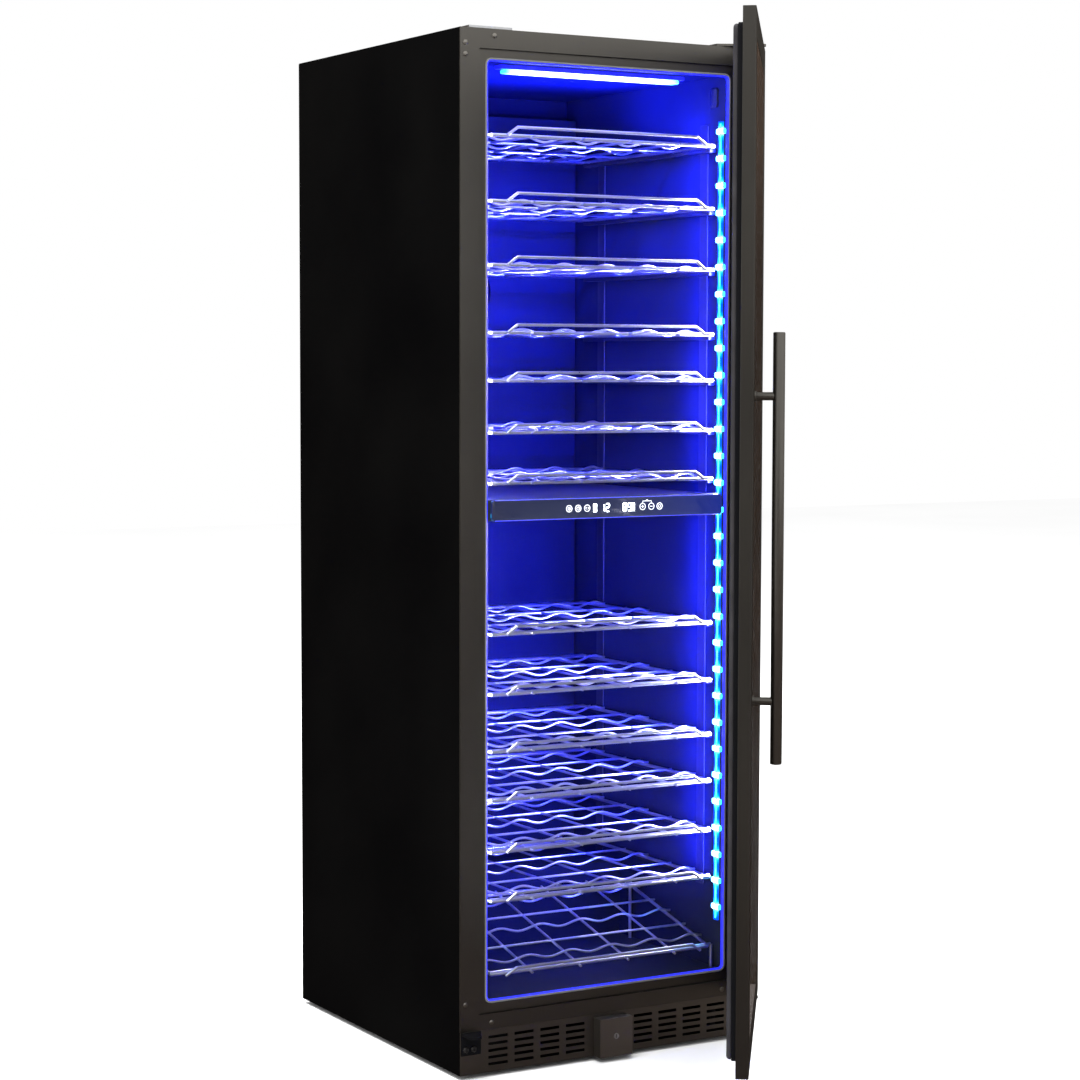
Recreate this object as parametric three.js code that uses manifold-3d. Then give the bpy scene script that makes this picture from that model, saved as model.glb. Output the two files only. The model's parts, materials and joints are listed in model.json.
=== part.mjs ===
// Tall two-zone wine cooler with a glass door standing open, wire shelves and lit side walls.
// Millimetres, +Z up. Inside this file x runs left to right across the front, y runs from the
// front face towards the back, and z rises from the floor. The whole group is moved at the end,
// so that the origin is at the middle of the footprint.
import * as THREE from "three";
import { mergeVertices } from "three/addons/utils/BufferGeometryUtils.js";
import Module from "manifold-3d";

const wasm = await Module();
wasm.setup();

// Driving dimensions: the cabinet.
const GAP = 0.3; // between neighbouring pieces
const WIDTH = 595;
const DEPTH = 630;
const TOP = 1770; // top of the casing above the floor
const FOOT = 8; // what shows of a levelling foot under the casing
const SHEET = 1.2; // casing sheet metal
const KICK_TOP = 83; // the front frame stands on this height
const FRAME_BACK = 12; // depth of the front frame
const STILE = 36.6; // width of the frame's outer face
const STEP_DEPTH = 6; // the inner ring of the frame is set back by this
const OPENING = { x0: 53, x1: 542, z0: 128.3, z1: 1721.3, corner: 10 };
const LINER = 2; // liner wall thickness
const LINER_BACK = 565;
const HUMP_Y = 360; // the liner floor steps up behind this, over the compressor
const HUMP_TOP = 268;
const DIVIDER = { z0: 949, z1: 985, front: 14 };
const MACHINE_TOP = 86; // under the insulated floor at the front
const MACHINE_BACK_TOP = 232; // under the insulated step at the back
const MACHINE_Y = 400;

// Shelves: height of each shelf's wires above the floor.
const UPPER_SHELVES = [1595, 1485, 1378, 1264, 1183, 1095, 1009];
const LOWER_SHELVES = [752, 649, 551, 467, 378, 293];
const SHELF = { x0: 60, x1: 535, y0: 10, y1: 490, lowerY1: 480, wire: 6, crossWires: 5 };
const FENCE = { x0: 95, x1: 500, topX0: 112, topX1: 482, height: 24, thick: 5 };
const BOTTOM_RACK = { z: 163, tilt: 14, length: 322 };
const LEDGE = { x1: 68, y0: 45, y1: 478, height: 6 }; // what each shelf slides on
const RACK_STRIPS = { y: [70, 420], width: 25, thick: 2, top: 1640 };
const STRIP = { y: 29, halfWidth: 6, thick: 3.5, z0: 215, z1: 1642 }; // a light strip
const LAMP = { x: 114, y0: 62, y1: 84, height: 18 };
const TOUCH_STRIP = { x: 64, y: 5 };

// Back and machine space.
const INLET = { x: 500, z: 60, width: 30, height: 24, depth: 28, socketW: 24, socketH: 16, socketD: 18 };
const VENT = { x: 60, z: 90, width: 90, height: 8, pitchX: 130, pitchZ: 22, columns: 3, rows: 5 };
const SLOT = { x: 55, z: 22, length: 38, height: 5, pitchX: 51.3, pitchZ: 11.7, columns: 4, rows: 5 };
const FOOT_DISC_R = 19;
const FOOT_STEM = { r: 5, top: 46 };
const FEET = [
  ["front_left", 48, 48],
  ["front_right", WIDTH - 48, 48],
  ["rear_left", 48, DEPTH - 50],
  ["rear_right", WIDTH - 48, DEPTH - 50],
];
const DUCT_Y = 520;
const FAN = { r: 46, y: 542, thick: 20, blades: 5 };
const FANS = { upper: 1350, lower: 620 };
const CONDENSER = { x0: 70, x1: 270, y0: 500, y1: 590, height: 150 };
const CONDENSER_FAN = { x: 170, y: 470, z: 85, r: 60, thick: 24, blades: 5 };
const COMPRESSOR = { x: 430, y: 515, lift: 14 };

// Driving dimensions: the door, drawn closed and then turned about its pins.
const DOOR_ANGLE = 53.6;
const PIVOT = { x: 581, y: -25.5 };
const DOOR = { y0: -37, y1: -16, z0: 90, z1: 1764, rail: 45 };
const SEAL = { inset: 22, linerY: -8, faceY: -0.5 };
const PIN_R = 4;
const HANDLE = { x: 45, z: 925, length: 680, r: 9.5, reach: 38, postR: 6.5, postSpacing: 480 };

const LOCK = { x: WIDTH / 2, width: 66, front: -23, z0: 9, z1: 77, barrelR: 5, barrelZ: 45 };
const BOLT = { halfWidth: 6, y0: -22, y1: -18, z0: 54, z1: 76.5 };

// Materials.
function finish(color, roughness, metalness) {
  return new THREE.MeshStandardMaterial({ color, roughness, metalness });
}
const casingBlack = finish(0x0b0b0c, 0.45, 0.3);
const darkSteel = finish(0x4b4946, 0.38, 0.85);
const blackPlastic = finish(0x161618, 0.5, 0);
const linerBlack = finish(0x101218, 0.4, 0);
const glossBlack = finish(0x08080a, 0.08, 0);
const foamYellow = finish(0xd9c98c, 0.95, 0);
const brightWire = finish(0xc9ccd2, 0.15, 1);
const smokedGlass = finish(0x1a1c20, 0.05, 0);
const rubberGrey = finish(0x2a2a2c, 0.8, 0);
const lampWhite = finish(0xdde8ff, 0.4, 0);
const aluminium = finish(0xb0b3b8, 0.4, 0.9);
const zincPlate = finish(0xd5d7da, 0.35, 0.9);

// Solids: closed geometries that manifold-3d can join and cut.
function toSolid(geometry) {
  const bare = geometry.clone();
  bare.deleteAttribute("normal");
  bare.deleteAttribute("uv");
  const merged = mergeVertices(bare, 1e-4);
  return new wasm.Manifold(
    new wasm.Mesh({
      numProp: 3,
      vertProperties: merged.attributes.position.array,
      triVerts: new Uint32Array(merged.index.array),
    }),
  );
}

function toGeometry(solid) {
  const made = solid.getMesh();
  const geometry = new THREE.BufferGeometry();
  geometry.setAttribute("position", new THREE.BufferAttribute(made.vertProperties, 3));
  geometry.setIndex(new THREE.BufferAttribute(made.triVerts, 1));
  return geometry;
}

function join(...geometries) {
  return toGeometry(geometries.map(toSolid).reduce((all, next) => all.add(next)));
}

function cut(from, ...tools) {
  return toGeometry(tools.map(toSolid).reduce((left, tool) => left.subtract(tool), toSolid(from)));
}

// A box between two corners.
function box(x0, x1, y0, y1, z0, z1) {
  const geometry = new THREE.BoxGeometry(x1 - x0, y1 - y0, z1 - z0);
  return geometry.translate((x0 + x1) / 2, (y0 + y1) / 2, (z0 + z1) / 2);
}

// A rectangle, with round corners if a radius is given.
function rectangle(x0, x1, z0, z1, r = 0, Kind = THREE.Shape) {
  const outline = new Kind();
  if (!r) {
    outline.moveTo(x0, z0).lineTo(x1, z0).lineTo(x1, z1).lineTo(x0, z1).lineTo(x0, z0);
    return outline;
  }
  outline.moveTo(x0 + r, z0).lineTo(x1 - r, z0);
  outline.absarc(x1 - r, z0 + r, r, -Math.PI / 2, 0);
  outline.lineTo(x1, z1 - r).absarc(x1 - r, z1 - r, r, 0, Math.PI / 2);
  outline.lineTo(x0 + r, z1).absarc(x0 + r, z1 - r, r, Math.PI / 2, Math.PI);
  outline.lineTo(x0, z0 + r).absarc(x0 + r, z0 + r, r, Math.PI, 1.5 * Math.PI);
  return outline;
}

// An outline drawn in x and z, as thick as y0 to y1.
function upright(shape, y0, y1) {
  const made = new THREE.ExtrudeGeometry(shape, {
    depth: y1 - y0,
    bevelEnabled: false,
    curveSegments: 5,
  });
  return made.rotateX(Math.PI / 2).translate(0, y1, 0);
}

// An outline drawn in x and y, as thick as z0 to z1.
function flat(shape, z0, z1) {
  const made = new THREE.ExtrudeGeometry(shape, {
    depth: z1 - z0,
    bevelEnabled: false,
    curveSegments: 5,
  });
  return made.translate(0, 0, z0);
}

// An outline drawn in y and z, as thick as x0 to x1.
function sideways(shape, x0, x1) {
  const made = new THREE.ExtrudeGeometry(shape, { depth: x1 - x0, bevelEnabled: false });
  return made.rotateY(Math.PI / 2).rotateX(Math.PI / 2).translate(x0, 0, 0);
}

// Cylinders along each axis.
function postZ(x, y, z0, z1, r, sides = 20) {
  const made = new THREE.CylinderGeometry(r, r, z1 - z0, sides);
  return made.rotateX(Math.PI / 2).translate(x, y, (z0 + z1) / 2);
}

function rodY(x, z, y0, y1, r, sides = 20) {
  return new THREE.CylinderGeometry(r, r, y1 - y0, sides).translate(x, (y0 + y1) / 2, z);
}

// Scene graph.
const cooler = new THREE.Group();
const cabinet = new THREE.Group();
const hinge = new THREE.Group();
const door = new THREE.Group();
cooler.add(cabinet, hinge);
hinge.position.set(PIVOT.x, PIVOT.y, 0);
hinge.rotation.z = THREE.MathUtils.degToRad(DOOR_ANGLE);
door.position.set(-PIVOT.x, -PIVOT.y, 0);
hinge.add(door);

function piece(parent, name, geometry, material) {
  const mesh = new THREE.Mesh(geometry, material);
  mesh.name = name;
  parent.add(mesh);
}

// Casing ------------------------------------------------------------------------------------
const panelFront = 3 + GAP; // the front frame's flange covers the panels' front edges
const panelTop = TOP - SHEET - GAP;
piece(cabinet, "side_panel_left", box(0, SHEET, panelFront, DEPTH, FOOT, panelTop), casingBlack);
piece(
  cabinet,
  "side_panel_right",
  box(WIDTH - SHEET, WIDTH, panelFront, DEPTH, FOOT, panelTop),
  casingBlack,
);
piece(cabinet, "top_panel", box(0, WIDTH, panelFront, DEPTH, TOP - SHEET, TOP), casingBlack);

const insideX0 = SHEET + GAP;
const insideX1 = WIDTH - SHEET - GAP;

// A box centred on a point of the back, from y0 to y1.
function inletBlock(width, height, y0, y1) {
  const { x, z } = INLET;
  return box(x - width / 2, x + width / 2, y0, y1, z - height / 2, z + height / 2);
}

// Rear panel, with ventilation slots over the machine space.
function rearPanel() {
  const holes = [
    inletBlock(INLET.width + 2 * GAP, INLET.height + 2 * GAP, DEPTH - 5, DEPTH + 5),
  ];
  for (let column = 0; column < VENT.columns; column += 1) {
    for (let row = 0; row < VENT.rows; row += 1) {
      const x = VENT.x + column * VENT.pitchX;
      const z = VENT.z + row * VENT.pitchZ;
      holes.push(box(x, x + VENT.width, DEPTH - 5, DEPTH + 5, z, z + VENT.height));
    }
  }
  return cut(box(insideX0, insideX1, DEPTH - SHEET, DEPTH, FOOT + 2 + GAP, panelTop), ...holes);
}
piece(cabinet, "rear_panel", rearPanel(), casingBlack);

// Appliance socket in the rear panel: a block with a recess that faces backwards.
piece(
  cabinet,
  "power_inlet",
  cut(
    inletBlock(INLET.width, INLET.height, DEPTH - INLET.depth, DEPTH),
    inletBlock(INLET.socketW, INLET.socketH, DEPTH - INLET.socketD, DEPTH + 1),
  ),
  blackPlastic,
);

// Base pan and levelling feet.
const pan = { y0: 4, y1: DEPTH - SHEET - GAP, z0: FOOT, z1: FOOT + 2 };
piece(
  cabinet,
  "base_pan",
  cut(
    box(insideX0, insideX1, pan.y0, pan.y1, pan.z0, pan.z1),
    ...FEET.map(([, x, y]) => postZ(x, y, 0, 20, FOOT_STEM.r + GAP, 16)),
  ),
  zincPlate,
);
for (const [corner, x, y] of FEET) {
  const disc = postZ(x, y, 0, FOOT - GAP, FOOT_DISC_R, 24);
  const stem = postZ(x, y, FOOT - 2, FOOT_STEM.top, FOOT_STEM.r, 16);
  piece(cooler, `foot_${corner}`, join(disc, stem), blackPlastic);
}

function frontFrame() {
  const flange = upright(rectangle(0, WIDTH, KICK_TOP, TOP), 0, 3);
  const body = upright(rectangle(2, WIDTH - 2, KICK_TOP, TOP - 2), 2, FRAME_BACK);
  const rebate = upright(
    rectangle(STILE, WIDTH - STILE, KICK_TOP + 26.5, TOP - 32.6),
    -1,
    STEP_DEPTH,
  );
  const { x0, x1, z0, z1, corner } = OPENING;
  const through = upright(rectangle(x0, x1, z0, z1, corner), -1, FRAME_BACK + 1);
  return cut(join(flange, body), rebate, through);
}
piece(cabinet, "front_frame", frontFrame(), darkSteel);

// Kick grille: rows of slots either side of the lock.
function kickGrille() {
  const slots = [];
  const { length, height } = SLOT;
  for (let row = 0; row < SLOT.rows; row += 1) {
    const z = SLOT.z + row * SLOT.pitchZ - height / 2;
    for (let column = 0; column < SLOT.columns; column += 1) {
      const x = SLOT.x + column * SLOT.pitchX;
      for (const left of [x, WIDTH - x - length]) {
        slots.push(box(left, left + length, 0, 5, z, z + height));
      }
    }
  }
  return cut(box(0.5, WIDTH - 0.5, 0.5, 2.5, FOOT + GAP, KICK_TOP - GAP), ...slots);
}
piece(cabinet, "kick_grille", kickGrille(), darkSteel);

// Liner and insulation ----------------------------------------------------------------------
const linerFront = FRAME_BACK + GAP;
const { x0: inX0, x1: inX1, z0: inZ0, z1: inZ1 } = OPENING;
const linerZ0 = inZ0 - LINER;
const linerZ1 = inZ1 + LINER;

function yzOutline(points) {
  const outline = new THREE.Shape();
  points.forEach(([y, z], i) => (i ? outline.lineTo(y, z) : outline.moveTo(y, z)));
  return outline;
}

// The side of the liner, with its step over the compressor, grown by a margin.
function linerSide(front, margin) {
  const back = LINER_BACK + LINER + margin;
  return yzOutline([
    [front, linerZ0 - margin],
    [HUMP_Y + LINER + margin, linerZ0 - margin],
    [HUMP_Y + LINER + margin, HUMP_TOP - LINER - margin],
    [back, HUMP_TOP - LINER - margin],
    [back, linerZ1 + margin],
    [front, linerZ1 + margin],
  ]);
}

for (const [side, x] of [
  ["left", inX0 - LINER],
  ["right", inX1],
]) {
  piece(cabinet, `liner_${side}`, sideways(linerSide(linerFront, 0), x, x + LINER), linerBlack);
}
piece(
  cabinet,
  "liner_ceiling",
  box(inX0 + GAP, inX1 - GAP, linerFront, LINER_BACK - GAP, inZ1, linerZ1),
  linerBlack,
);
piece(
  cabinet,
  "liner_back",
  box(inX0 + GAP, inX1 - GAP, LINER_BACK, LINER_BACK + LINER, HUMP_TOP + GAP, linerZ1),
  linerBlack,
);

piece(
  cabinet,
  "liner_floor",
  sideways(
    yzOutline([
      [linerFront, linerZ0],
      [HUMP_Y + LINER, linerZ0],
      [HUMP_Y + LINER, HUMP_TOP - LINER],
      [LINER_BACK + LINER, HUMP_TOP - LINER],
      [LINER_BACK + LINER, HUMP_TOP],
      [HUMP_Y, HUMP_TOP],
      [HUMP_Y, inZ0],
      [linerFront, inZ0],
    ]),
    inX0 + GAP,
    inX1 - GAP,
  ),
  linerBlack,
);

// One body of foam: the casing's inside less the liner's outside.
piece(
  cabinet,
  "foam_insulation",
  cut(
    sideways(
      yzOutline([
        [linerFront, MACHINE_TOP],
        [MACHINE_Y, MACHINE_TOP],
        [MACHINE_Y, MACHINE_BACK_TOP],
        [DEPTH - SHEET - GAP, MACHINE_BACK_TOP],
        [DEPTH - SHEET - GAP, panelTop - GAP],
        [linerFront, panelTop - GAP],
      ]),
      insideX0,
      insideX1,
    ),
    sideways(linerSide(0, GAP), inX0 - LINER - GAP, inX1 + LINER + GAP),
    box(110, 485, LINER_BACK, LINER_BACK + LINER + GAP + 5, 330, 1640),
  ),
  foamYellow,
);
// Evaporator plate in its pocket behind the back liner.
piece(
  cabinet,
  "evaporator",
  box(112, 483, LINER_BACK + LINER + 1, LINER_BACK + LINER + 5, 332, 1638),
  aluminium,
);

// Divider between the zones, and the touch strip on its front -------------------------------
const channel = SHELF.x0 + GAP; // the racks and light strips pass beside the divider
piece(
  cabinet,
  "zone_divider",
  box(channel, WIDTH - channel, DIVIDER.front, LINER_BACK - GAP, DIVIDER.z0, DIVIDER.z1),
  blackPlastic,
);
piece(
  cabinet,
  "control_panel",
  box(
    TOUCH_STRIP.x,
    WIDTH - TOUCH_STRIP.x,
    TOUCH_STRIP.y,
    DIVIDER.front - GAP,
    DIVIDER.z0 + GAP,
    DIVIDER.z1 - GAP,
  ),
  glossBlack,
);

// Lights ------------------------------------------------------------------------------------
for (const [side, x] of [
  ["left", inX0 + GAP],
  ["right", inX1 - GAP - STRIP.thick],
]) {
  piece(
    cabinet,
    `led_strip_${side}`,
    box(
      x,
      x + STRIP.thick,
      STRIP.y - STRIP.halfWidth,
      STRIP.y + STRIP.halfWidth,
      STRIP.z0,
      STRIP.z1,
    ),
    lampWhite,
  );
}
piece(
  cabinet,
  "ceiling_lamp",
  box(LAMP.x, WIDTH - LAMP.x, LAMP.y0, LAMP.y1, inZ1 - LAMP.height, inZ1 - GAP),
  lampWhite,
);

// Racks: two upright strips joined by a ledge under each shelf ------------------------------
function shelfRack(mirrored) {
  const place = (a, b, ...rest) => (mirrored ? box(WIDTH - b, WIDTH - a, ...rest) : box(a, b, ...rest));
  const wall = inX0 + GAP;
  const { width, thick, top: stripTop } = RACK_STRIPS;
  const solids = RACK_STRIPS.y.map((y) =>
    place(wall, wall + thick, y, y + width, HUMP_TOP + 4, stripTop),
  );
  for (const z of [...UPPER_SHELVES, ...LOWER_SHELVES]) {
    const top = z - GAP;
    solids.push(place(wall, LEDGE.x1, LEDGE.y0, LEDGE.y1, top - LEDGE.height, top));
  }
  return join(...solids);
}
piece(cabinet, "shelf_rack_left", shelfRack(false), blackPlastic);
piece(cabinet, "shelf_rack_right", shelfRack(true), blackPlastic);

// Air ducts and fans ------------------------------------------------------------------------
function ductCover(z0, z1, fanZ) {
  const plate = upright(rectangle(SHELF.x0, SHELF.x1, z0, z1), DUCT_Y, DUCT_Y + 2);
  const hole = rodY(WIDTH / 2, fanZ, DUCT_Y - 5, DUCT_Y + 5, FAN.r + 4, 32);
  const legs = [SHELF.x0 + 4, SHELF.x1 - 24].map((x) =>
    box(x, x + 20, DUCT_Y + 1, LINER_BACK - GAP, z0 + 4, z1 - 4),
  );
  return cut(join(plate, ...legs), hole);
}
piece(
  cabinet,
  "duct_cover_upper",
  ductCover(DIVIDER.z1 + 4, inZ1 - 40, FANS.upper),
  linerBlack,
);
piece(cabinet, "duct_cover_lower", ductCover(HUMP_TOP + 4, DIVIDER.z0 - 4, FANS.lower), linerBlack);

// A rotor that turns about y: a hub with flat pitched blades.
function rotor(x, y, z, { r, thick, blades }) {
  const solids = [rodY(0, 0, -thick / 2, thick / 2, r * 0.32, 16)];
  for (let i = 0; i < blades; i += 1) {
    const blade = new THREE.BoxGeometry(r * 0.46, 2, r * 0.74);
    blade.rotateZ(THREE.MathUtils.degToRad(32)).translate(0, 0, r * 0.63);
    solids.push(blade.rotateY((i * 2 * Math.PI) / blades));
  }
  return join(...solids).translate(x, y, z);
}
for (const [zone, z] of Object.entries(FANS)) {
  piece(
    cooler,
    `fan_${zone}`,
    rotor(WIDTH / 2, FAN.y, z, FAN),
    blackPlastic,
  );
}

// Machine space -----------------------------------------------------------------------------
function compressor() {
  const profile = [
    [0, 0],
    [52, 0],
    [66, 12],
    [72, 40],
    [72, 110],
    [64, 140],
    [40, 162],
    [0, 168],
  ];
  const { x, y, lift } = COMPRESSOR;
  const base = pan.z1;
  const mounts = [
    [-70, -25],
    [70, -25],
    [-70, 25],
    [70, 25],
  ];
  const points = profile.map(([r, z]) => new THREE.Vector2(r, z));
  const dome = new THREE.LatheGeometry(points, 24).rotateX(Math.PI / 2);
  return join(
    dome.translate(x, y, base + lift),
    box(x - 85, x + 85, y - 45, y + 45, base + lift - 4, base + lift + 2),
    ...mounts.map(([dx, dy]) =>
      box(x + dx - 10, x + dx + 10, y + dy - 10, y + dy + 10, base + GAP, base + lift - 2),
    ),
  );
}
piece(cabinet, "compressor", compressor(), casingBlack);
piece(
  cabinet,
  "condenser",
  box(
    CONDENSER.x0,
    CONDENSER.x1,
    CONDENSER.y0,
    CONDENSER.y1,
    pan.z1 + GAP,
    pan.z1 + CONDENSER.height,
  ),
  darkSteel,
);
piece(
  cooler,
  "fan_condenser",
  rotor(CONDENSER_FAN.x, CONDENSER_FAN.y, CONDENSER_FAN.z, CONDENSER_FAN),
  blackPlastic,
);

// Lock --------------------------------------------------------------------------------------
piece(
  cabinet,
  "lock_housing",
  cut(
    box(LOCK.x - LOCK.width / 2, LOCK.x + LOCK.width / 2, LOCK.front, 0.2, LOCK.z0, LOCK.z1),
    rodY(LOCK.x, LOCK.barrelZ, LOCK.front - 1, -4, LOCK.barrelR + GAP, 20),
    box(
      LOCK.x - BOLT.halfWidth - GAP,
      LOCK.x + BOLT.halfWidth + GAP,
      BOLT.y0 - GAP,
      BOLT.y1 + GAP,
      BOLT.z0 - GAP,
      LOCK.z1 + 1,
    ),
  ),
  darkSteel,
);
piece(
  cooler,
  "lock_cylinder",
  cut(
    rodY(LOCK.x, LOCK.barrelZ, LOCK.front - 0.6, -4 - GAP, LOCK.barrelR, 20),
    box(
      LOCK.x - 0.8,
      LOCK.x + 0.8,
      LOCK.front - 2,
      LOCK.front + 9,
      LOCK.barrelZ - 3,
      LOCK.barrelZ + 3,
    ),
  ),
  zincPlate,
);
piece(
  cooler,
  "lock_bolt",
  box(LOCK.x - BOLT.halfWidth, LOCK.x + BOLT.halfWidth, BOLT.y0, BOLT.y1, BOLT.z0, BOLT.z1),
  zincPlate,
);

// Hinge brackets ----------------------------------------------------------------------------
// A lower bracket: a plate on the kick grille with an arm that reaches under the door.
function lowerBracket(x0, x1, pinX, pinned) {
  const plate = box(x0, x1, -2, 0.2, 43, KICK_TOP - 1);
  const arm = new THREE.Shape();
  const tip = 12;
  arm.moveTo(x0, 0).lineTo(pinX - tip, PIVOT.y);
  arm.absarc(pinX, PIVOT.y, tip, Math.PI, 2 * Math.PI);
  arm.lineTo(x1, 0).lineTo(x0, 0);
  const solids = [plate, flat(arm, KICK_TOP - 5, KICK_TOP - 1)];
  if (pinned) solids.push(postZ(PIVOT.x, PIVOT.y, KICK_TOP - 3, DOOR.z0 + 14, PIN_R, 16));
  return join(...solids);
}
piece(
  cabinet,
  "hinge_bracket_lower",
  lowerBracket(PIVOT.x - 25, WIDTH - 1.5, PIVOT.x, true),
  casingBlack,
);
piece(
  cabinet,
  "hinge_bracket_spare",
  lowerBracket(1.5, WIDTH - PIVOT.x + 25, WIDTH - PIVOT.x, false),
  casingBlack,
);

const PLATE = 4;
function upperBracket() {
  const x0 = WIDTH - 82;
  const outline = new THREE.Shape();
  outline.moveTo(x0, 40).lineTo(x0, 4).lineTo(PIVOT.x - 13, PIVOT.y);
  outline.absarc(PIVOT.x, PIVOT.y, 13, Math.PI, 2 * Math.PI);
  outline.lineTo(WIDTH - 1, 40).lineTo(x0, 40);
  return join(
    flat(outline, TOP + GAP, TOP + GAP + PLATE),
    postZ(PIVOT.x, PIVOT.y, DOOR.z1 + GAP, TOP + 2, 9, 20),
    postZ(PIVOT.x, PIVOT.y, DOOR.z1 - 14, TOP + 2, PIN_R, 16),
  );
}
piece(cabinet, "hinge_bracket_upper", upperBracket(), darkSteel);
piece(cabinet, "top_plate_spare", box(18, 100, 2, 40, TOP + GAP, TOP + GAP + PLATE), zincPlate);

// Door, drawn closed ------------------------------------------------------------------------
function doorFrame() {
  const { y0, y1, z0, z1, rail } = DOOR;
  const ring = rectangle(0, WIDTH, z0, z1);
  ring.holes.push(rectangle(rail, WIDTH - rail, z0 + rail, z1 - rail, 0, THREE.Path));
  const pinHole = (a, b) => postZ(PIVOT.x, PIVOT.y, a, b, PIN_R + GAP, 16);
  const half = BOLT.halfWidth + 3;
  return cut(
    upright(ring, y0, y1),
    pinHole(z0 - 1, z0 + 16),
    pinHole(z1 - 16, z1 + 1),
    box(LOCK.x - half, LOCK.x + half, BOLT.y0 - 2, y1 + 1, z0 - 1, z0 + 14),
  );
}
piece(door, "door_frame", doorFrame(), darkSteel);

const pane = { inset: DOOR.rail + GAP };
function glass(y0, y1) {
  const { inset } = pane;
  return box(inset, WIDTH - inset, y0, y1, DOOR.z0 + inset, DOOR.z1 - inset);
}
piece(door, "door_glass_outer", glass(DOOR.y0 + 0.5, DOOR.y0 + 5.5), smokedGlass);
piece(door, "door_glass_inner", glass(DOOR.y1 - 4.5, DOOR.y1 - 0.5), smokedGlass);

function doorRing(inset, width, y0, y1) {
  const z0 = DOOR.z0 + inset;
  const z1 = DOOR.z1 - inset;
  const ring = rectangle(inset, WIDTH - inset, z0, z1, 6);
  ring.holes.push(
    rectangle(inset + width, WIDTH - inset - width, z0 + width, z1 - width, 0, THREE.Path),
  );
  return upright(ring, y0, y1);
}
piece(door, "door_liner", doorRing(SEAL.inset, 30, DOOR.y1 + GAP, SEAL.linerY), blackPlastic);
piece(door, "door_gasket", doorRing(SEAL.inset + 2, 18, SEAL.linerY + GAP, SEAL.faceY), rubberGrey);

function doorHandle() {
  const barY = DOOR.y0 - HANDLE.reach;
  const half = HANDLE.length / 2;
  const bar = postZ(HANDLE.x, barY, HANDLE.z - half, HANDLE.z + half, HANDLE.r, 24);
  const posts = [-1, 1].map((way) =>
    rodY(HANDLE.x, HANDLE.z + (way * HANDLE.postSpacing) / 2, barY, DOOR.y0 - GAP, HANDLE.postR, 16),
  );
  return join(bar, ...posts);
}
piece(door, "door_handle", doorHandle(), darkSteel);

// Shelves -----------------------------------------------------------------------------------
// A flat grid of wires with a low trapezoid fence across its front.
function wireShelf(depth) {
  const { x0, x1, wire, crossWires } = SHELF;
  const bay = (depth - wire) / (crossWires - 1);
  const bays = [];
  for (let i = 0; i < crossWires - 1; i += 1) {
    const y = wire + i * bay;
    bays.push(box(x0 + wire, x1 - wire, y, y + bay - wire, -1, wire + 1));
  }
  return join(cut(box(x0, x1, 0, depth, 0, wire), ...bays), fence());
}

function fence() {
  const { x0, x1, topX0, topX1, height, thick } = FENCE;
  const outline = new THREE.Shape();
  outline.moveTo(x0, 2).lineTo(x1, 2).lineTo(topX1, height).lineTo(topX0, height).lineTo(x0, 2);
  const hole = new THREE.Path();
  const floor = SHELF.wire - 1;
  hole.moveTo(x0 + 9, floor).lineTo(x1 - 9, floor);
  hole.lineTo(topX1 - 2, height - thick).lineTo(topX0 + 2, height - thick).lineTo(x0 + 9, floor);
  outline.holes.push(hole);
  return upright(outline, 0.5, thick);
}

function slidingShelf(name, z, y1) {
  const shelf = wireShelf(y1 - SHELF.y0).translate(0, SHELF.y0, z);
  piece(cooler, name, shelf, brightWire);
}
UPPER_SHELVES.forEach((z, i) => slidingShelf(`shelf_upper_${i + 1}`, z, SHELF.y1));
LOWER_SHELVES.forEach((z, i) => slidingShelf(`shelf_lower_${i + 1}`, z, SHELF.lowerY1));

// The bottom rack leans back over the step, on four legs.
function bottomRack() {
  const { z, tilt, length } = BOTTOM_RACK;
  const angle = THREE.MathUtils.degToRad(tilt);
  const rack = wireShelf(length).rotateX(angle).translate(0, SHELF.y0 + 4, z);
  const legs = [];
  for (const x of [SHELF.x0, SHELF.x1 - SHELF.wire]) {
    for (const along of [20, length - 20]) {
      const y = SHELF.y0 + 4 + along * Math.cos(angle);
      const top = z + along * Math.sin(angle) + 2;
      legs.push(box(x, x + SHELF.wire, y - 3, y + 3, inZ0 + GAP, top));
    }
  }
  return join(rack, ...legs);
}
piece(cabinet, "bottom_rack", bottomRack(), brightWire);

// The origin is on the floor, in the middle of the whole footprint with the door open.
const bounds = new THREE.Box3().setFromObject(cooler, true);
const middle = bounds.getCenter(new THREE.Vector3());
cooler.position.set(-middle.x, -middle.y, 0);

export default cooler;
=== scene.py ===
import json
import math

import bmesh
import bpy
from mathutils import Matrix, Vector


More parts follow.
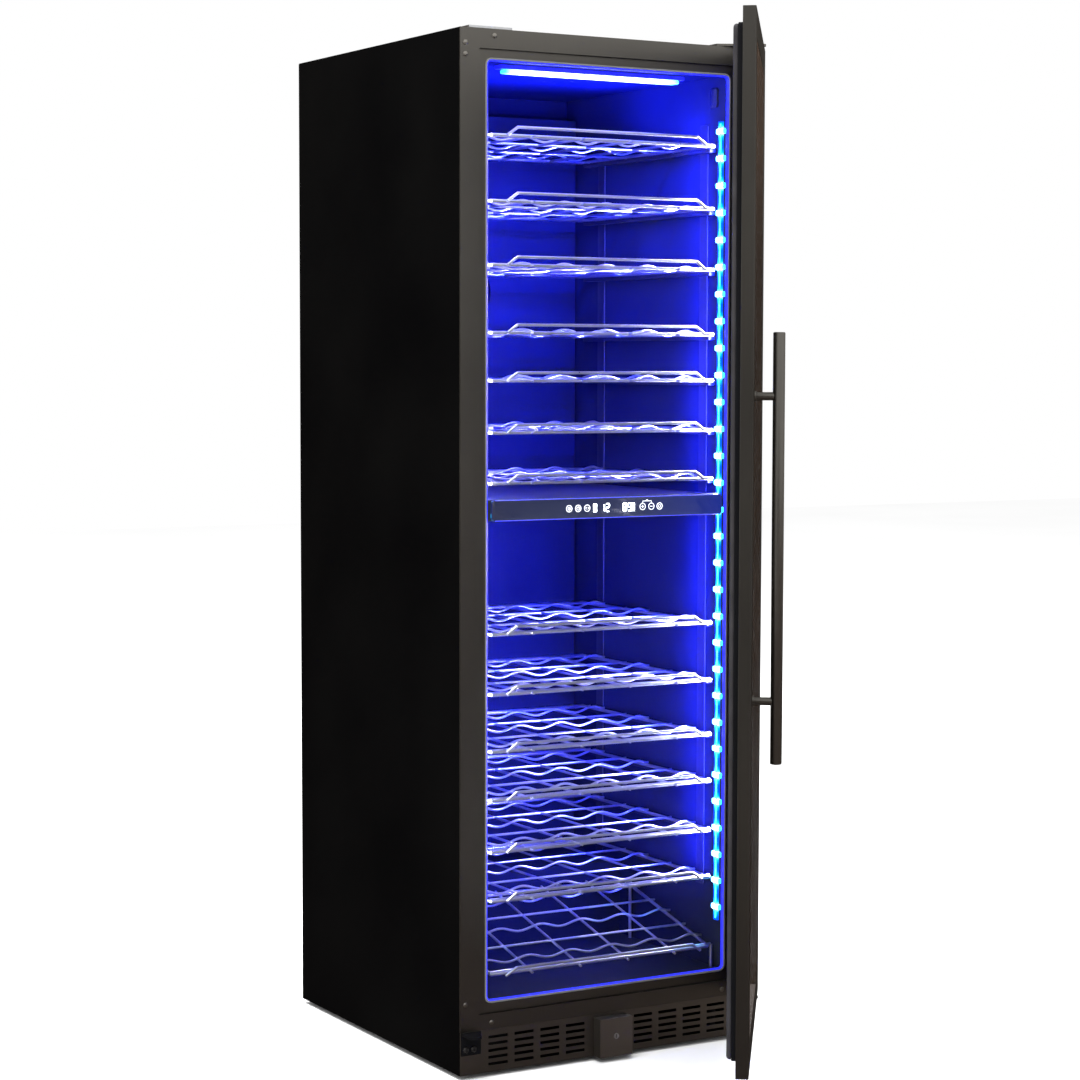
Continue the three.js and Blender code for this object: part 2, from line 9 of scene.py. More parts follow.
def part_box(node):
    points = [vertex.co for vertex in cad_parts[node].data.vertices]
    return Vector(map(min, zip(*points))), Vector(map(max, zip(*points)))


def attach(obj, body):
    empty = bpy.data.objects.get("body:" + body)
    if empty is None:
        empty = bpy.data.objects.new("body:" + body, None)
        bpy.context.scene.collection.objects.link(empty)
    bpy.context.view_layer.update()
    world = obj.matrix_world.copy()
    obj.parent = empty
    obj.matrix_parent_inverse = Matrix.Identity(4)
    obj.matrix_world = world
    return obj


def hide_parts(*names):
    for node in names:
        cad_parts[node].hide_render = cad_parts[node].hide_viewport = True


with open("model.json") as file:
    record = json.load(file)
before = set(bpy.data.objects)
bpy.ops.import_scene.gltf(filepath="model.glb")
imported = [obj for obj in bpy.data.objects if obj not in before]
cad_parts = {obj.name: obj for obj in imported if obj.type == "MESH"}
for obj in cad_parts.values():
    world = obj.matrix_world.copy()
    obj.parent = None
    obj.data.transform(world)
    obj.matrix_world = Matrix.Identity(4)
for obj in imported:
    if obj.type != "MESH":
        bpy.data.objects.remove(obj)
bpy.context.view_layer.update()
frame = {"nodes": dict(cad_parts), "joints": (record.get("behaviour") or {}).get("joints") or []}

# Looks of a tall two-zone wine cooler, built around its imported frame.
# Sketch lengths are millimetres from the casing's front left corner on the floor: x to the right,
# y towards the back, z up. Door pieces are sketched closed and then turned open with the door.
MM = 0.001
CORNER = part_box("front_frame")[0].copy()
CORNER.z = 0.0
NODES = frame["nodes"]
JOINTS = {joint["name"]: joint for joint in frame["joints"]}


def extent(node):
    """Lowest and highest corner of a CAD node, in sketch millimetres."""
    low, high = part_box(node)
    return (low - CORNER) / MM, (high - CORNER) / MM


PLACE = Matrix.Translation(CORNER) @ Matrix.Scale(MM, 4)
PIVOT = (Vector(JOINTS["door_swing"]["pos_m"]) - CORNER) / MM
OPEN_ANGLE = -math.radians(JOINTS["door_swing"]["range_deg"][0])
TURN_OPEN = (
    Matrix.Translation((PIVOT.x, PIVOT.y, 0))
    @ Matrix.Rotation(OPEN_ANGLE, 4, "Z")
    @ Matrix.Translation((-PIVOT.x, -PIVOT.y, 0))
)
DOOR_PLACE = PLACE @ TURN_OPEN

# Driving sizes, as the CAD model has them.
WIDTH = extent("front_frame")[1].x
CASE_TOP = extent("top_panel")[1].z
OPENING = {"x0": 53.0, "x1": WIDTH - 53.0, "z0": 128.3, "z1": CASE_TOP - 48.7, "radius": 10.0}
DOOR = {"front": -37.0, "z0": 90.0, "z1": 1764.0, "rail": 45.0}
HANDLE = {"x": 45.0, "reach": 38.0, "z0": 585.0, "z1": 1265.0, "radius": 9.5, "post_pitch": 480.0}
SHELVES = [f"shelf_upper_{i}" for i in range(1, 8)] + [f"shelf_lower_{i}" for i in range(1, 7)]
BOTTLE_PITCH = 85.0
WIRE = {"frame": 3.0, "cross": 2.2, "fence": 2.6}  # radii
WAVE = 4.5  # how far a cross wire dips under a bottle
FENCE = {"foot": 95.0, "top": 112.0, "height": 24.0}
RACK = {"angle": math.radians(14), "length": 322.0, "corner": Vector((0, 14, 163))}
RACK_HIGHLIGHT_LINES = (70.0, 420.0)  # where the painted highlights on the wall strips' edges stand
SWITCH_COVER = {"y": (42, 63), "z": (1668, 1702)}

# The lamps: a row of lenses up each wall, and a bar under the ceiling.
LED = {"count": 30, "first": 239.0, "pitch": 47.8, "half_y": 13.0, "half_z": 4.6, "proud": 1.3}
LED_Y = 29.0
LED_SPAN = (LED_Y - LED["half_y"], LED_Y + LED["half_y"])
LED_MIDDLE = 970.0
LED_HEIGHT = 1340.0
LAMP_INSET = 8.0
LAMP_ENDS = [corner.x for corner in extent("ceiling_lamp")]
LAMP_SPAN = (LAMP_ENDS[0] + LAMP_INSET, LAMP_ENDS[1] - LAMP_INSET)
WHITE_BLUE = (0.8, 0.96, 1.0)
CYAN = (0.02, 0.5, 1.0)
LED_STOPS = [(0.08, CYAN), (0.26, WHITE_BLUE), (0.74, WHITE_BLUE), (0.92, CYAN)]
LAMP_STOPS = [(0.0, CYAN), (0.1, WHITE_BLUE), (0.86, WHITE_BLUE), (1.0, CYAN)]


# Materials ---------------------------------------------------------------------------------
class Shader:
    """A node material built round one Principled shader."""

    def __init__(self, name, **sockets):
        self.material = bpy.data.materials.new(name)
        self.material.use_nodes = True
        self.tree = self.material.node_tree
        self.principled = self.tree.nodes["Principled BSDF"]
        for socket, value in sockets.items():
            self.principled.inputs[socket.replace("_", " ")].default_value = value

    def node(self, kind, **settings):
        """A new node; each setting is an input socket's value or a property."""
        made = self.tree.nodes.new(kind)
        for key, value in settings.items():
            if key in made.inputs:
                made.inputs[key].default_value = value
            else:
                setattr(made, key, value)
        return made

    def link(self, source, target):
        self.tree.links.new(source, target)

    def coordinates(self, scale=(1, 1, 1)):
        """Object coordinates stretched by scale."""
        texture = self.node("ShaderNodeTexCoord")
        mapping = self.node("ShaderNodeMapping")
        mapping.inputs["Scale"].default_value = scale
        self.link(texture.outputs["Object"], mapping.inputs["Vector"])
        return mapping.outputs["Vector"]

    def noise(self, scale, detail=3.0, stretch=(1, 1, 1)):
        """Noise in object coordinates, from 0 to 1."""
        made = self.node("ShaderNodeTexNoise", Scale=scale, Detail=detail)
        self.link(self.coordinates(stretch), made.inputs["Vector"])
        return made.outputs["Fac"]

    def cells(self, scale):
        """Distance from the middle of the nearest cell of a cell pattern."""
        made = self.node("ShaderNodeTexVoronoi", Scale=scale)
        self.link(self.coordinates(), made.inputs["Vector"])
        return made.outputs["Distance"]

    def ramp(self, factor, stops):
        """A colour ramp: stops are (position, colour)."""
        made = self.node("ShaderNodeValToRGB")
        elements = made.color_ramp.elements
        while len(elements) < len(stops):
            elements.new(0.5)
        for element, (position, colour) in zip(elements, stops):
            element.position = position
            element.color = (*colour, 1.0)
        self.link(factor, made.inputs["Fac"])
        return made.outputs["Color"]

    def spread(self, factor, low, high):
        """Factor from 0 to 1 turned into low to high."""
        made = self.node("ShaderNodeMapRange")
        made.inputs["To Min"].default_value = low
        made.inputs["To Max"].default_value = high
        self.link(factor, made.inputs["Value"])
        return made.outputs["Result"]

    def along(self, axis, start, end):
        """0 to 1 between two places on one axis, given in sketch millimetres."""
        texture = self.node("ShaderNodeTexCoord")
        split = self.node("ShaderNodeSeparateXYZ")
        self.link(texture.outputs["Object"], split.inputs["Vector"])
        corner = CORNER["XYZ".index(axis)]
        made = self.node("ShaderNodeMapRange")
        made.inputs["From Min"].default_value = corner + start * MM
        made.inputs["From Max"].default_value = corner + end * MM
        self.link(split.outputs[axis], made.inputs["Value"])
        return made.outputs["Result"]

    def set(self, socket, value):
        """Drives one of the shader's sockets from a node."""
        self.link(value, self.principled.inputs[socket])

    def bump(self, height, strength, distance):
        """Relief from a height texture, with its depth in metres."""
        made = self.node("ShaderNodeBump", Strength=strength, Distance=distance)
        self.link(height, made.inputs["Height"])
        self.link(made.outputs["Normal"], self.principled.inputs["Normal"])


def brushed_dark_steel(name, stretch, painted_light_factor=1.0):
    """Tinted stainless steel with a fine grain that runs along one axis; the last argument scales its
    colour, above 1 as painted light and below 1 as painted shade.
    """
    edge_tint = (0.35, 0.35, 0.35, 1.0)
    steel = Shader(name, Metallic=1.0, Anisotropic=0.45, Specular_Tint=edge_tint)
    grain = steel.noise(900.0, 4.0, stretch)
    smudge = steel.noise(3.2, 4.0)
    low = tuple(painted_light_factor * c for c in (0.139, 0.131, 0.118))
    high = tuple(painted_light_factor * c for c in (0.179, 0.169, 0.151))
    steel.set("Base Color", steel.ramp(smudge, [(0.3, low), (0.7, high)]))
    mixed = steel.node("ShaderNodeMix", data_type="FLOAT")
    mixed.inputs[0].default_value = 0.35
    steel.link(grain, mixed.inputs[2])
    steel.link(smudge, mixed.inputs[3])
    steel.set("Roughness", steel.spread(mixed.outputs[0], 0.3, 0.52))
    steel.bump(grain, 0.12, 0.0002)
    return steel.material


def powder_coat(name, colour, roughness, gloss=0.28):
    """Satin paint with a faint orange peel and slow variation in gloss."""
    paint = Shader(name, Specular_IOR_Level=gloss)
    cloud = paint.noise(2.5, 3.0)
    low = tuple(0.75 * c for c in colour)
    paint.set("Base Color", paint.ramp(cloud, [(0.35, low), (0.7, colour)]))
    paint.set("Roughness", paint.spread(cloud, roughness - 0.06, roughness + 0.08))
    paint.bump(paint.noise(650.0, 2.0), 0.18, 0.0003)
    return paint.material


def moulded_plastic(name, colour, roughness, grain=1400.0, gloss=0.45):
    """Moulded plastic with a fine spark-eroded grain."""
    plastic = Shader(name, Specular_IOR_Level=gloss)
    cloud = plastic.noise(7.0, 3.0)
    high = tuple(1.35 * c for c in colour)
    plastic.set("Base Color", plastic.ramp(cloud, [(0.3, colour), (0.75, high)]))
    plastic.set("Roughness", plastic.spread(cloud, roughness - 0.05, roughness + 0.1))
    plastic.bump(plastic.noise(grain, 2.0), 0.22, 0.0002)
    return plastic.material


def bright_wire():
    """Nickel-chrome plate with drawn lines and slight waviness."""
    chrome = Shader("bright_plate", Metallic=1.0)
    drift = chrome.noise(40.0, 3.0)
    tones = [(0.3, (0.8, 0.81, 0.86)), (0.75, (0.93, 0.93, 0.97))]
    chrome.set("Base Color", chrome.ramp(drift, tones))
    chrome.set("Roughness", chrome.spread(drift, 0.24, 0.38))
    chrome.bump(chrome.noise(220.0, 2.0), 0.08, 0.0004)
    return chrome.material


def zinc_plate():
    """Zinc plate with a fine spangle in its tone and gloss."""
    zinc = Shader("zinc_plate", Metallic=1.0)
    spangle = zinc.cells(160.0)
    tones = [(0.0, (0.62, 0.63, 0.64)), (0.9, (0.8, 0.81, 0.82))]
    zinc.set("Base Color", zinc.ramp(spangle, tones))
    zinc.set("Roughness", zinc.spread(spangle, 0.28, 0.5))
    return zinc.material


def gloss_touch():
    """Smoked touch glass, faintly fingermarked, with a painted blue glow for the cabinet's light coming
    through it, brighter towards the right end.
    """
    touch = Shader("touch_gloss_painted_glow", Specular_IOR_Level=0.6, Coat_Weight=0.6, Coat_Roughness=0.04)
    touch.principled.inputs["Emission Strength"].default_value = 1.0
    # painted glow: emission standing in for the cabinet's blue light, rising towards the strip's right
    # end
    lit = [(0.1, (0.012, 0.018, 0.06)), (0.6, (0.02, 0.028, 0.09)), (0.92, (0.014, 0.03, 0.3))]
    touch.set("Emission Color", touch.ramp(touch.along("X", 0.0, WIDTH), lit))
    smear = touch.noise(18.0, 5.0, (1.0, 1.0, 2.5))
    tones = [(0.35, (0.006, 0.006, 0.009)), (0.8, (0.014, 0.014, 0.02))]
    touch.set("Base Color", touch.ramp(smear, tones))
    touch.set("Roughness", touch.spread(smear, 0.08, 0.26))
    return touch.material


def tinted_glass():
    """Smoked pane: clear body with a grey tint and a hint of haze."""
    pane = Shader("smoked_pane", Transmission_Weight=1.0, IOR=1.47, Specular_IOR_Level=0.5)
    haze = pane.noise(9.0, 4.0)
    tones = [(0.3, (0.3, 0.31, 0.33)), (0.8, (0.36, 0.37, 0.39))]
    pane.set("Base Color", pane.ramp(haze, tones))
    pane.set("Roughness", pane.spread(haze, 0.0, 0.03))
    return pane.material


def soft_rubber(name, low, high, gloss=0.35):
    """Matt rubber that varies between two tones, with a fine skin texture."""
    rubber = Shader(name, Specular_IOR_Level=gloss)
    cloud = rubber.noise(30.0, 3.0)
    rubber.set("Base Color", rubber.ramp(cloud, [(0.3, low), (0.8, high)]))
    rubber.set("Roughness", rubber.spread(cloud, 0.42, 0.62))
    rubber.bump(rubber.noise(900.0, 2.0), 0.15, 0.0002)
    return rubber.material


def insulation_foam():
    """Yellow foam with small open cells."""
    foam = Shader("insulation_foam", Roughness=0.95)
    cells = foam.cells(260.0)
    foam.set("Base Color", foam.ramp(cells, [(0.0, (0.5, 0.4, 0.18)), (0.8, (0.72, 0.6, 0.32))]))
    foam.bump(cells, 0.5, 0.001)
    return foam.material


def satin_black(name):
    """Nearly black satin paint for the big outer panels, with orange peel and a trace of dust."""
    paint = Shader(name, Specular_IOR_Level=0.02)
    dust = paint.noise(3.0, 5.0)
    tones = [(0.35, (0.0014, 0.0014, 0.0016)), (0.8, (0.003, 0.0029, 0.0028))]
    paint.set("Base Color", paint.ramp(dust, tones))
    paint.set("Roughness", paint.spread(dust, 0.52, 0.68))
    paint.bump(paint.noise(520.0, 2.0), 0.2, 0.0003)
    return paint.material


def lit_strip(name, first, pitch):
    """A light strip's cover: cyan over each lamp, blue between them."""
    cover = Shader(name, Roughness=0.3)
    halves = cover.along("Z", first, first + pitch / 2)
    halves.node.clamp = False
    folded = cover.node("ShaderNodeMath", operation="PINGPONG")
    cover.link(halves, folded.inputs[0])
    folded.inputs[1].default_value = 1.0
    near = folded.outputs["Value"]
    stops = [(0.14, (0.3, 0.9, 1.0)), (0.4, (0.0, 0.32, 1.0)), (0.75, (0.0, 0.07, 0.9))]
    cover.set("Base Color", cover.ramp(near, stops))
    cover.set("Emission Color", cover.ramp(near, stops))
    cover.principled.inputs["Emission Strength"].default_value = 1.6
    return cover.material


def glow(name, colour, strength, core):
    """A glowing surface, brightest where its fine texture is thick; used for lamps and also for painted
    glow on parts that are no lamp.
    """
    lamp = Shader(name, Roughness=0.35)
    texture = lamp.noise(120.0, 2.0)
    lamp.set("Base Color", lamp.ramp(texture, [(0.2, colour), (0.8, core)]))
    lamp.set("Emission Color", lamp.ramp(texture, [(0.2, colour), (0.8, core)]))
    lamp.principled.inputs["Emission Strength"].default_value = strength
    return lamp.material


def graded_glow(name, axis, start, end, stops, strength):
    """A lamp whose colour changes from one end to the other."""
    lamp = Shader(name, Roughness=0.35)
    lamp.set("Base Color", lamp.ramp(lamp.along(axis, start, end), stops))
    lamp.set("Emission Color", lamp.ramp(lamp.along(axis, start, end), stops))
    lamp.principled.inputs["Emission Strength"].default_value = strength
    return lamp.material


STEEL_UPRIGHT = brushed_dark_steel("dark_steel_upright", (1.0, 1.0, 0.02))
# Lit and shaded copies of one steel: the door's is darkened as painted shade, the lightest carries
# painted highlights for the lock housing and frame plugs, and the level one is lightened as painted
# light for the kick grille and upper hinge bracket.
STEEL_DOOR_PAINTED_SHADE = brushed_dark_steel("dark_steel_door_painted_shade", (1.0, 1.0, 0.02), 0.6)
STEEL_PAINTED_HIGHLIGHT = brushed_dark_steel("dark_steel_painted_highlight", (0.02, 1.0, 1.0), 2.0)
STEEL_LEVEL_PAINTED_LIGHT = brushed_dark_steel("dark_steel_level_painted_light", (0.02, 1.0, 1.0), 1.35)
CASING = satin_black("casing_paint")
# black paint for the brackets, spacer and machine parts, also painted shade on the base pan
BLACK_PAINT_AND_SHADE = powder_coat("black_paint_and_painted_shade", (0.005, 0.005, 0.006), 0.45, 0.05)
BOLT_PAINT = powder_coat("bolt_paint", (0.014, 0.013, 0.013), 0.3, 0.4)
REAR_PAINT = powder_coat("rear_paint", (0.03, 0.03, 0.031), 0.5)
PLASTIC = moulded_plastic("black_plastic", (0.016, 0.016, 0.018), 0.45)
DOOR_PLASTIC = moulded_plastic("door_plastic", (0.004, 0.004, 0.005), 0.5, 1400.0, 0.1)
# dark liner plastic; the blue in its tint is painted blue light from the cabinet's lamps
LINER_PAINTED_BLUE = moulded_plastic("liner_plastic_painted_blue", (0.015, 0.018, 0.028), 0.4, 700.0, 0.08)
CHROME = bright_wire()
ZINC = zinc_plate()
TOUCH_PAINTED_GLOW = gloss_touch()
GLASS = tinted_glass()
RUBBER = soft_rubber("gasket_rubber", (0.02, 0.019, 0.021), (0.034, 0.032, 0.035), 0.2)
# pale grey rubber for the opening's bead, also used for the painted highlights on the rack strips'
# edges
LIP_RUBBER_AND_HIGHLIGHT = soft_rubber("lip_rubber_and_painted_highlight", (0.1, 0.1, 0.105), (0.15, 0.15, 0.155))
FOAM = insulation_foam()
LED_GLOW = graded_glow("led_lens", "Y", *LED_SPAN, LED_STOPS, 6.0)
LAMP_GLOW = graded_glow("lamp_diffuser", "X", *LAMP_SPAN, LAMP_STOPS, 4.0)
STRIP_GLOW = lit_strip("strip_cover", LED["first"], LED["pitch"])
CHANNEL_GLOW = glow("channel_line", (0.0, 0.75, 1.0), 5.0, (0.1, 0.9, 1.0))
# painted glow: blue emission for the lamp housing and the opening's lip, which are no lamps, standing
# in for the LED light on them
PAINTED_EDGE_GLOW = glow("painted_edge_glow", (0.015, 0.02, 1.0), 0.42, (0.04, 0.05, 1.0))
# painted glow: blue lines along the touch strip's edges, for the cabinet light they catch
TOUCH_EDGE_PAINTED_GLOW = glow("touch_edge", (0.06, 0.07, 1.0), 0.85, (0.16, 0.18, 1.0))
ICON_GLOW = glow("icon_print", (0.8, 0.85, 1.0), 1.6, (1.0, 1.0, 1.0))
DIGIT_GLOW = glow("digit_glow", (0.8, 0.95, 1.0), 9.0, (1.0, 1.0, 1.0))


# Mesh building -----------------------------------------------------------------------------
class Sketch:
    """Points in sketch millimetres and faces, which become one mesh piece."""

    def __init__(self):
        self.points = []
        self.faces = []

    def add(self, points, faces):
        """Adds points, and faces that count from the first of them."""
        start = len(self.points)
        self.points += [Vector(p) for p in points]
        self.faces += [[start + i for i in face] for face in faces]

    def loops(self, loops, closed_along=False, capped=True):
        """Skins a row of loops that have the same number of points."""
        size, count = len(loops[0]), len(loops)
        faces = []
        for a in range(count if closed_along else count - 1):
            b = (a + 1) % count
            for i in range(size):
                j = (i + 1) % size
                faces.append([a * size + i, a * size + j, b * size + j, b * size + i])
        if capped and not closed_along:
            faces.append(list(reversed(range(size))))
            faces.append([(count - 1) * size + i for i in range(size)])
        self.add([p for loop in loops for p in loop], faces)

    def tube(self, path, radius, sides=8, closed=False):
        """A round wire along a path, its section carried along without twisting."""
        path = [Vector(p) for p in path]
        count = len(path)
        tangents = []
        for i in range(count):
            before = path[(i - 1) % count] if closed or i else path[0]
            after = path[(i + 1) % count] if closed or i < count - 1 else path[-1]
            tangents.append((after - before).normalized())
        side = tangents[0].orthogonal().normalized()
        loops = []
        for i in range(count):
            side = (side - tangents[i] * side.dot(tangents[i])).normalized()
            other = tangents[i].cross(side)
            ring = []
            for k in range(sides):
                angle = 2 * math.pi * k / sides
                ring.append(path[i] + radius * (math.cos(angle) * side + math.sin(angle) * other))
            loops.append(ring)
        self.loops(loops, closed_along=closed)

    def lathe(self, start, axis, profile, sides=24):
        """A turned shape: profile is (distance along the axis, radius), from end to end."""
        axis = Vector(axis).normalized()
        side = axis.orthogonal().normalized()
        other = axis.cross(side)
        loops = []
        for along, radius in profile:
            centre = Vector(start) + axis * along
            loops.append([
                centre + radius * (math.cos(a) * side + math.sin(a) * other)
                for a in (2 * math.pi * k / sides for k in range(sides))
            ])
        self.loops(loops)

    def block(self, low, high):
        """A box between two corners."""
        x0, y0, z0 = low
        x1, y1, z1 = high
        bottom = [(x0, y0, z0), (x1, y0, z0), (x1, y1, z0), (x0, y1, z0)]
        top = [(x0, y0, z1), (x1, y0, z1), (x1, y1, z1), (x0, y1, z1)]
        self.loops([bottom, top])

    def ring(self, profile, x0, x1, z0, z1, radius, steps=5):
        """A frame swept round a rectangle: profile is (distance inwards, y), closed."""
        loops = []
        for inwards, y in profile:
            bend = max(radius - inwards, 0.4)
            sides = (x0 + inwards, x1 - inwards, z0 + inwards, z1 - inwards)
            loops.append([(x, y, z) for x, z in round_rectangle(*sides, bend, steps)])
        self.loops(loops, closed_along=True)

    def piece(self, name, body, material, replaces=(), place=PLACE, bevel=0.0, slot=None):
        """Makes the object, with smooth shading broken at its sharp edges."""
        mesh = bpy.data.meshes.new(name)
        mesh.from_pydata([place @ p for p in self.points], [], self.faces)
        build = bmesh.new()
        build.from_mesh(mesh)
        bmesh.ops.recalc_face_normals(build, faces=build.faces)
        for face in build.faces:
            face.smooth = True
        for edge in build.edges:
            edge.smooth = edge.calc_face_angle(0.0) < math.radians(38)
        build.to_mesh(mesh)
        build.free()
        made = bpy.data.objects.new(name, mesh)
        bpy.context.scene.collection.objects.link(made)
        made.data.materials.append(material)
        if bevel:
            soften(made, bevel)
        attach(made, body)
        if replaces:
            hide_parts(*replaces)
        return made


def soften(piece, width, segments=2):
    """Rounds a piece's sharp edges."""
    weld = piece.modifiers.new("weld", "WELD")
    weld.merge_threshold = 1e-6
    bevel = piece.modifiers.new("bevel", "BEVEL")
    bevel.width = width * MM
    bevel.segments = segments
    bevel.limit_method = "ANGLE"
    bevel.angle_limit = math.radians(35)
    bevel.harden_normals = True


def round_rectangle(x0, x1, z0, z1, r, steps):
    """The outline of a rectangle with corners of radius r, anticlockwise."""
    outline = []
    corners = [(x1 - r, z0 + r, -90), (x1 - r, z1 - r, 0), (x0 + r, z1 - r, 90), (x0 + r, z0 + r, 180)]
    for x, z, start in corners:
        for k in range(steps + 1):
            angle = math.radians(start + 90 * k / steps)
            outline.append((x + r * math.cos(angle), z + r * math.sin(angle)))
    return outline


def rounded_path(corners, radius, steps=5, closed=False):
    """A polyline whose corners are bent to a radius."""
    corners = [Vector(p) for p in corners]
    count = len(corners)
    path = []
    for i, corner in enumerate(corners):
        if not closed and i in (0, count - 1):
            path.append(corner)
            continue
        to_before = (corners[i - 1] - corner).normalized()
        to_after = (corners[(i + 1) % count] - corner).normalized()
        half = to_before.angle(to_after) / 2
        reach = radius / math.tan(half)
        centre = corner + (to_before + to_after).normalized() * (radius / math.sin(half))
        start = corner + to_before * reach - centre
        end = corner + to_after * reach - centre
        for k in range(steps + 1):
            path.append(centre + start.slerp(end, k / steps) if radius else corner)
    return path


def dress(node, material, bevel=0.0):
    """Gives a CAD node its material, and rounded edges if it shows."""
    piece = NODES[node]
    piece.data.materials.clear()
    piece.data.materials.append(material)
    if bevel:
        soften(piece, bevel)


# CAD nodes that keep their shape -----------------------------------------------------------
DRESSED = {
    "side_panel_left": (CASING, 0.4),
    "side_panel_right": (CASING, 0.4),
    "top_panel": (CASING, 0.4),
    "rear_panel": (REAR_PAINT, 0.0),
    "power_inlet": (PLASTIC, 0.5),
    # painted shade: the base pan takes the black paint so the machine space behind the kick's slots
    # reads dark
    "base_pan": (BLACK_PAINT_AND_SHADE, 0.0),
    "front_frame": (STEEL_UPRIGHT, 0.7),
    "kick_grille": (STEEL_LEVEL_PAINTED_LIGHT, 0.35),
    "liner_left": (LINER_PAINTED_BLUE, 0.0),
    "liner_right": (LINER_PAINTED_BLUE, 0.0),
    "liner_ceiling": (LINER_PAINTED_BLUE, 0.0),
    "liner_back": (LINER_PAINTED_BLUE, 0.0),
    "liner_floor": (LINER_PAINTED_BLUE, 1.0),
    "foam_insulation": (FOAM, 0.0),
    "evaporator": (ZINC, 0.0),
    "zone_divider": (PLASTIC, 1.0),
    "control_panel": (TOUCH_PAINTED_GLOW, 0.0),
    "shelf_rack_left": (PLASTIC, 0.5),
    "shelf_rack_right": (PLASTIC, 0.5),
    "duct_cover_upper": (LINER_PAINTED_BLUE, 0.6),
    "duct_cover_lower": (LINER_PAINTED_BLUE, 0.6),
    "compressor": (BLACK_PAINT_AND_SHADE, 1.0),
    "condenser": (BLACK_PAINT_AND_SHADE, 0.5),
    "fan_upper": (PLASTIC, 0.3),
    "fan_lower": (PLASTIC, 0.3),
    "fan_condenser": (PLASTIC, 0.3),
    "lock_housing": (STEEL_PAINTED_HIGHLIGHT, 0.8),
    "lock_cylinder": (ZINC, 0.3),
    "lock_bolt": (ZINC, 0.4),
    "hinge_bracket_lower": (BLACK_PAINT_AND_SHADE, 0.5),
    "hinge_bracket_spare": (BLACK_PAINT_AND_SHADE, 0.5),
    "hinge_bracket_upper": (STEEL_LEVEL_PAINTED_LIGHT, 0.5),
    "top_plate_spare": (ZINC, 0.4),
    "door_frame": (STEEL_DOOR_PAINTED_SHADE, 0.9),
    "door_glass_outer": (GLASS, 0.0),
    "door_glass_inner": (GLASS, 0.0),
    "led_strip_left": (STRIP_GLOW, 0.0),
    "led_strip_right": (STRIP_GLOW, 0.0),
    "foot_front_left": (PLASTIC, 0.8),
    "foot_front_right": (PLASTIC, 0.8),
    "foot_rear_left": (PLASTIC, 0.8),
    "foot_rear_right": (PLASTIC, 0.8),
}
for node, (material, bevel) in DRESSED.items():
    dress(node, material, bevel)


# Shelves -----------------------------------------------------------------------------------
def wavy_wire(x0, x1, y, z, first_seat):
    """A cross wire that dips under each bottle."""
    path = []
    steps = 96
    for i in range(steps + 1):
        x = x0 + (x1 - x0) * i / steps
        phase = 2 * math.pi * (x - first_seat) / BOTTLE_PITCH
        fade = min(1.0, (x - x0) / 20, (x1 - x) / 20)
        path.append((x, y, z - WAVE * fade * math.cos(phase)))
    return path


def shelf_wires(low, high):
    """A wire shelf that stands on the floor of a box and fills it, its front towards -y."""
    sketch = Sketch()
    rim = WIRE["frame"]
    x0, x1 = low.x + rim, high.x - rim
    y0, y1 = low.y + rim, high.y - rim
    z = low.z + rim
    corners = [(x0, y0, z), (x1, y0, z), (x1, y1, z), (x0, y1, z)]
    sketch.tube(rounded_path(corners, 12, closed=True), rim, 10, closed=True)
    middle = (x0 + x1) / 2
    first_seat = middle - 2 * BOTTLE_PITCH
    depth = y1 - y0
    for share in (0.16, 0.5, 0.84):
        sketch.tube(wavy_wire(x0, x1, y0 + share * depth, z + 2.5, first_seat), WIRE["cross"], 8)
    for share in (0.06, 0.33, 0.67, 0.95):
        y = y0 + share * depth
        sketch.tube([(x0, y, z), (x1, y, z)], WIRE["cross"], 8)
    for offset in (-1.5, -0.5, 0.5, 1.5):
        x = middle + offset * 1.15 * BOTTLE_PITCH
        sketch.tube([(x, y0, z - 0.4), (x, y1, z - 0.4)], WIRE["cross"], 8)
    fence = WIRE["fence"]
    foot, shoulder = FENCE["foot"] + fence, FENCE["top"] + fence
    top = z + FENCE["height"] - rim - fence
    y = y0 - 0.4
    outline = [(foot, y, z), (shoulder, y, top), (WIDTH - shoulder, y, top), (WIDTH - foot, y, z)]
    sketch.tube(rounded_path(outline, 6), fence, 10)
    return sketch


def tilted_rack():
    """The fixed rack at the bottom: a shelf that rises to the back, on four legs."""
    low, high = extent("bottom_rack")
    wires = shelf_wires(Vector((low.x, 0, 0)), Vector((high.x, RACK["length"], 0)))
    tilt = Matrix.Translation(RACK["corner"]) @ Matrix.Rotation(RACK["angle"], 4, "X")
    wires.points = [tilt @ point for point in wires.points]
    for x in (low.x + 3, high.x - 3):
        for along in (20.0, RACK["length"] - 20):
            y = RACK["corner"].y + along * math.cos(RACK["angle"])
            z = RACK["corner"].z + along * math.sin(RACK["angle"]) + 2
            wires.tube([(x, y, low.z + 0.2), (x, y, z)], WIRE["frame"], 10)
    wires.piece("wires_bottom_rack", "cabinet", CHROME, ("bottom_rack",), slot="bright_wire")


for node in SHELVES:
    name = node.replace("shelf", "wires")
    shelf_wires(*extent(node)).piece(name, node, CHROME, (node,), slot="bright_wire")
tilted_rack()


